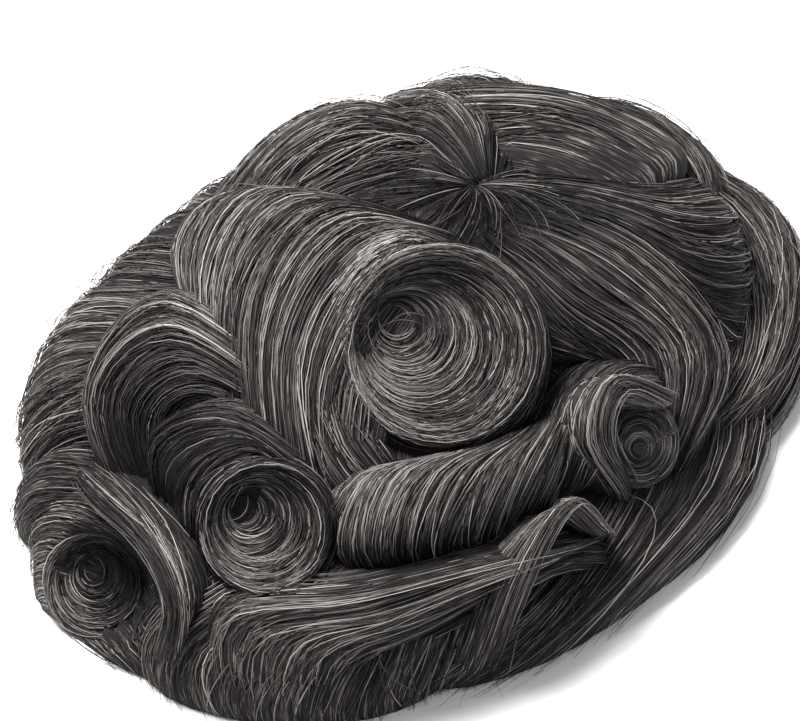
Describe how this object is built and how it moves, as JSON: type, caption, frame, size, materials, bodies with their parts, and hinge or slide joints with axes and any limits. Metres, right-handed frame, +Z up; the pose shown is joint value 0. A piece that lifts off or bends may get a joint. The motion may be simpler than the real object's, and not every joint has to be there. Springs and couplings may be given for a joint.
{
  "type": "toupee hairpiece",
  "caption": "Oval salt-and-pepper toupee hairpiece: a thin domed base, open underneath, with dressed hair in a pompadour roll, open curls and swept waves down to the rim.",
  "frame": {"origin": "middle of the footprint, on the surface that the hairpiece lies on", "axes": "+Z up through the crown, -Y to the front hairline, +X to the wearer's left, where the open curls face"},
  "size_m": [0.211, 0.2734, 0.0853],
  "materials": {
    "base_fabric": "matte net",
    "hair": "soft sheen, dark grey with pale grey strands"
  },
  "bodies": {
    "root": {"base": "base_fabric", "crown_hair": "hair", "pompadour_curl": "hair", "front_curl": "hair", "loop_lock": "hair", "ring_curl": "hair", "middle_wave": "hair", "front_outer_wave": "hair", "crown_sweep": "hair", "corner_curl": "hair", "front_wave": "hair", "back_rim_band": "hair", "right_rim_lock": "hair", "back_wave": "hair", "side_loop": "hair", "ridge_twist": "hair", "back_ridge": "hair", "corner_wave": "hair", "left_side_lock": "hair", "temple_lock": "hair", "left_rim_wave": "hair", "left_back_wave": "hair", "nape_wave": "hair"}
  },
  "joints": []
}
